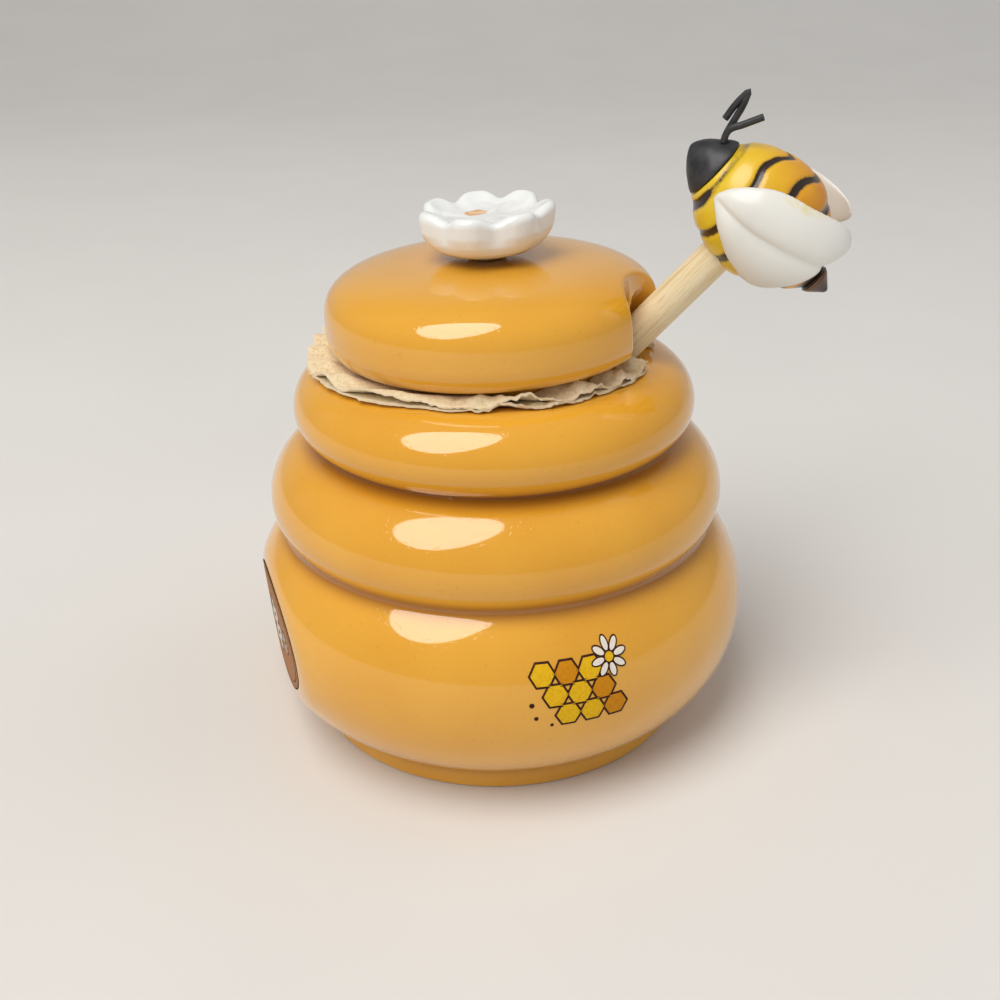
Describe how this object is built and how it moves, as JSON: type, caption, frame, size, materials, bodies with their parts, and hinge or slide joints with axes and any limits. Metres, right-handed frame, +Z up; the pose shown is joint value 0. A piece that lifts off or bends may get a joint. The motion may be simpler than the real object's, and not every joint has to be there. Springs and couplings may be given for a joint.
{
  "type": "ceramic honey pot with dipper",
  "caption": "Rounded beehive-shaped glazed honey pot with a lift-off domed lid, flower knob, corrugated packing ring and a wooden dipper topped by a moulded bee.",
  "frame": {"origin": "centre of the pot's flat foot, on the surface it stands on", "axes": "+Z up; +X towards the lid's notch, where the dipper leans out; +Y to the left of +X, away from the camera in the picture"},
  "size_m": [0.1241, 0.108, 0.1332],
  "materials": {
    "amber_glaze": "thick glossy amber glaze over pale stoneware",
    "white_glaze": "glossy white glaze",
    "kraft_cardboard": "single-face corrugated board, torn edge",
    "pale_wood": "turned and sanded, bare",
    "bee_yellow": "moulded resin, painted in yellow and dark brown bands",
    "bee_black": "moulded resin, matt black paint",
    "bee_white": "moulded resin, glossy white",
    "bee_amber": "moulded resin, dark amber paint",
    "black_wire": "thin steel wire, black paint"
  },
  "bodies": {
    "pot": {"pot_body": "amber_glaze"},
    "card": {"cardboard_ring": "kraft_cardboard"},
    "lid": {"lid": "amber_glaze", "flower_knob": "white_glaze"},
    "dipper": {"dipper_handle": "pale_wood", "dipper_head": "pale_wood", "bee_body": "bee_yellow", "bee_head": "bee_black", "bee_wing_near": "bee_white", "bee_wing_far": "bee_white", "bee_antenna_near": "black_wire", "bee_antenna_far": "black_wire", "bee_stinger": "bee_amber"}
  },
  "joints": [
    {"name": "card_lift", "type": "slide", "parent": "pot", "child": "card", "axis": [0, 0, 1], "range_m": [0, 0.02]},
    {"name": "lid_lift", "type": "slide", "parent": "card", "child": "lid", "axis": [0, 0, 1], "range_m": [0, 0.045]},
    {"name": "dipper_draw", "type": "slide", "parent": "pot", "child": "dipper", "axis": [0.673, 0, 0.7396], "range_m": [0, 0.052]}
  ]
}
